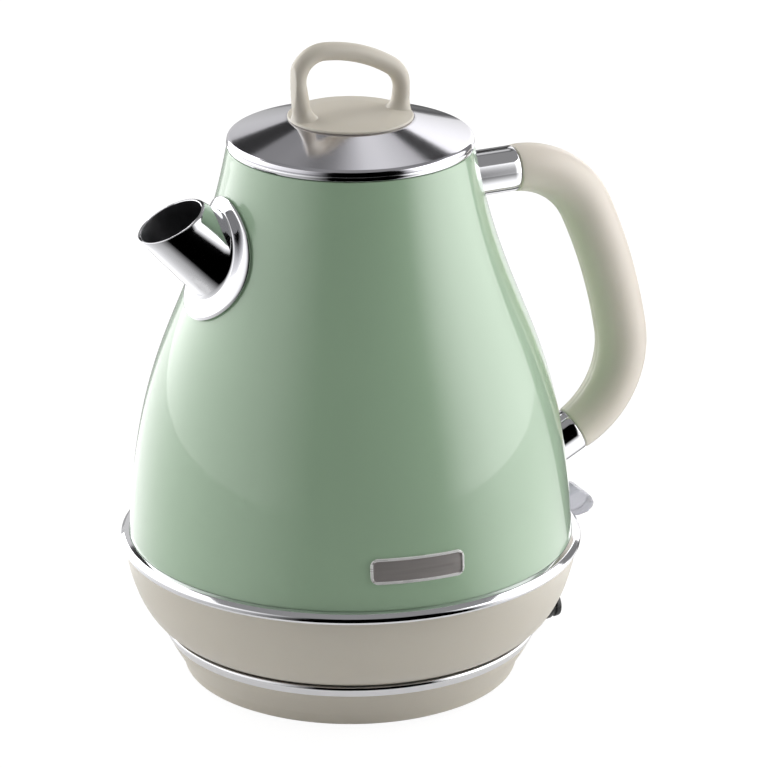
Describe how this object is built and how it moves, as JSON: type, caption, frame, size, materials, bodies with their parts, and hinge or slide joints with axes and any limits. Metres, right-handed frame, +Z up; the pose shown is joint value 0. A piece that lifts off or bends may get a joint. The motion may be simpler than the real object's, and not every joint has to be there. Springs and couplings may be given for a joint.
{
  "type": "electric kettle",
  "caption": "Cordless electric kettle with a conical enamelled jug, lift-off lid, tube spout, loop handle, rear switch lever and round power base.",
  "frame": {"origin": "on the jug's vertical axis, at the level of the feet's undersides on the table", "axes": "+Z up along the jug's axis, +X from the axis to the handle, -X to the spout"},
  "size_m": [0.2105, 0.174, 0.2474],
  "materials": {
    "green_enamel": "gloss pale green enamel",
    "cream_plastic": "satin cream moulding",
    "polished_steel": "mirror polished stainless steel",
    "brushed_steel": "brushed",
    "aluminium": "mill finish",
    "black_plastic": "semi-gloss black moulding",
    "brass": "plain",
    "rubber": "matt",
    "silicone": "matt silicone",
    "screw_steel": "zinc plated",
    "clear_plastic": "clear gloss",
    "lamp_glass": "clear orange glow tube",
    "mesh_steel": "fine perforated sheet"
  },
  "bodies": {
    "base": {"base_cover": "cream_plastic", "base_ring": "polished_steel", "base_floor": "black_plastic", "base_feet": "rubber", "base_screws": "screw_steel", "base_connector": "black_plastic", "live_pin": "brass", "neutral_ring": "brass", "cord_gland": "black_plastic", "cord_clamp": "black_plastic"},
    "turntable": {"earth_ring": "brass"},
    "jug": {"body_shell": "green_enamel", "shell_ring": "polished_steel", "badge_plate": "polished_steel", "boiler_plate": "brushed_steel", "plate_seal": "silicone", "heat_spreader": "aluminium", "heating_element": "brushed_steel", "element_tails": "brushed_steel", "control_unit": "black_plastic", "bimetal_discs": "brass", "jug_socket": "black_plastic", "socket_contacts": "brass", "steam_tube": "brushed_steel", "steam_thermostat": "black_plastic", "indicator_lamp": "lamp_glass", "lower_housing": "cream_plastic", "underside_cover": "cream_plastic", "cover_screws": "screw_steel", "spout": "polished_steel", "spout_gasket": "silicone", "filter_guide": "brushed_steel", "ferrule_upper": "polished_steel", "ferrule_lower": "polished_steel", "grip_left": "cream_plastic", "grip_right": "cream_plastic", "ferrule_screws": "screw_steel", "ferrule_washers": "screw_steel", "lever_pin": "screw_steel", "lever_bracket": "black_plastic", "trip_pin": "screw_steel"},
    "filter": {"filter_frame": "cream_plastic", "filter_mesh": "mesh_steel"},
    "switch": {"switch_lever": "clear_plastic"},
    "trip": {"trip_arm": "black_plastic"},
    "lid": {"lid_cone": "polished_steel", "lid_rim": "polished_steel", "lid_knob": "cream_plastic", "lid_plug": "brushed_steel", "lid_seal": "silicone", "knob_screws": "screw_steel"}
  },
  "joints": [
    {"name": "jug_turn", "type": "hinge", "parent": "base", "child": "turntable", "pos_m": [0, 0, 0.02], "axis": [0, 0, 1], "continuous": true},
    {"name": "jug_lift", "type": "slide", "parent": "turntable", "child": "jug", "axis": [0, 0, 1], "range_m": [0, 0.09]},
    {"name": "lid_lift", "type": "slide", "parent": "jug", "child": "lid", "axis": [0, 0, 1], "range_m": [0, 0.06]},
    {"name": "switch_press", "type": "hinge", "parent": "jug", "child": "switch", "pos_m": [0.074, 0, 0.0526], "axis": [0, 1, 0], "range_deg": [0, 12]},
    {"name": "trip_turn", "type": "hinge", "parent": "jug", "child": "trip", "pos_m": [0.0625, 0, 0.0484], "axis": [0, 1, 0], "range_deg": [-16, 0]},
    {"name": "filter_slide", "type": "slide", "parent": "jug", "child": "filter", "axis": [0, 0, 1], "range_m": [0, 0.015]}
  ],
  "couplings": [
    {"joint": "trip_turn", "follows": "switch_press", "ratio": -1.3}
  ]
}
